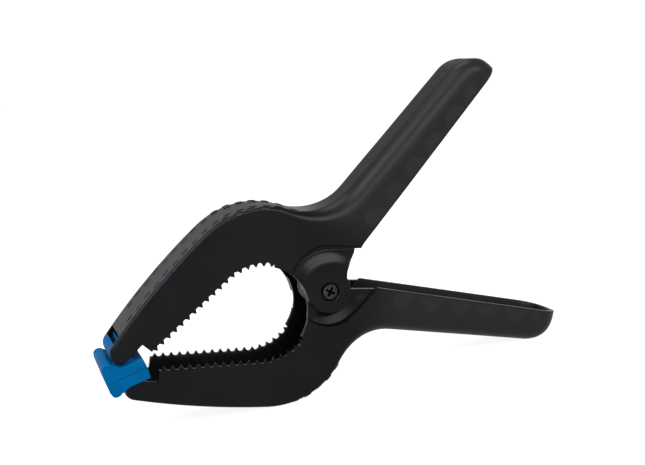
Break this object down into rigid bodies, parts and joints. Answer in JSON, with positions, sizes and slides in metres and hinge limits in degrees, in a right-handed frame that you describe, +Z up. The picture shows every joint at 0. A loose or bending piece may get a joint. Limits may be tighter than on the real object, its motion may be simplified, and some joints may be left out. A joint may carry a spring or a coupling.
{
  "type": "spring clamp",
  "caption": "Hand-squeezed plastic spring clamp with toothed C-shaped jaws, swivelling gripping pads and long splayed handles.",
  "frame": {"origin": "centre of the bounding box in X and Y, at the height of the surface that the lower jaw and lower handle end rest on", "axes": "+X from the gripping pads towards the handle ends, +Y along the hinge from the screw head towards the nut, +Z up"},
  "size_m": [0.1732, 0.0246, 0.1091],
  "materials": {
    "arm_plastic": "fine satin moulded glass-filled nylon",
    "pad_plastic": "semi-matt soft blue plastic",
    "spring_steel": "oil-dark drawn wire",
    "sleeve_steel": "plain turned tube",
    "screw_steel": "black oxide",
    "nut_steel": "zinc plated"
  },
  "bodies": {
    "lower_arm": {"lower_arm": "arm_plastic", "torsion_spring": "spring_steel"},
    "upper_arm": {"upper_arm": "arm_plastic", "pivot_sleeve": "sleeve_steel", "pivot_screw": "screw_steel", "pivot_nut": "nut_steel"},
    "upper_pad": {"upper_pad": "pad_plastic"},
    "lower_pad": {"lower_pad": "pad_plastic"}
  },
  "joints": [
    {"name": "jaw_hinge", "type": "hinge", "parent": "lower_arm", "child": "upper_arm", "pos_m": [-0.00362, 0, 0.03735], "axis": [0, 1, 0], "range_deg": [0, 45], "stiffness_Nm_per_rad": 5, "springref_deg": -28.65, "deforming": ["torsion_spring"]},
    {"name": "upper_pad_swivel", "type": "hinge", "parent": "upper_arm", "child": "upper_pad", "pos_m": [-0.07923, 0, 0.03208], "axis": [0, -1, 0], "range_deg": [0, 23]},
    {"name": "lower_pad_swivel", "type": "hinge", "parent": "lower_arm", "child": "lower_pad", "pos_m": [-0.07648, 0, 0.01814], "axis": [0, 1, 0], "range_deg": [0, 23]}
  ],
  "couplings": [
    {"joint": "upper_pad_swivel", "follows": "jaw_hinge", "ratio": 0.5},
    {"joint": "lower_pad_swivel", "follows": "jaw_hinge", "ratio": 0.5}
  ]
}
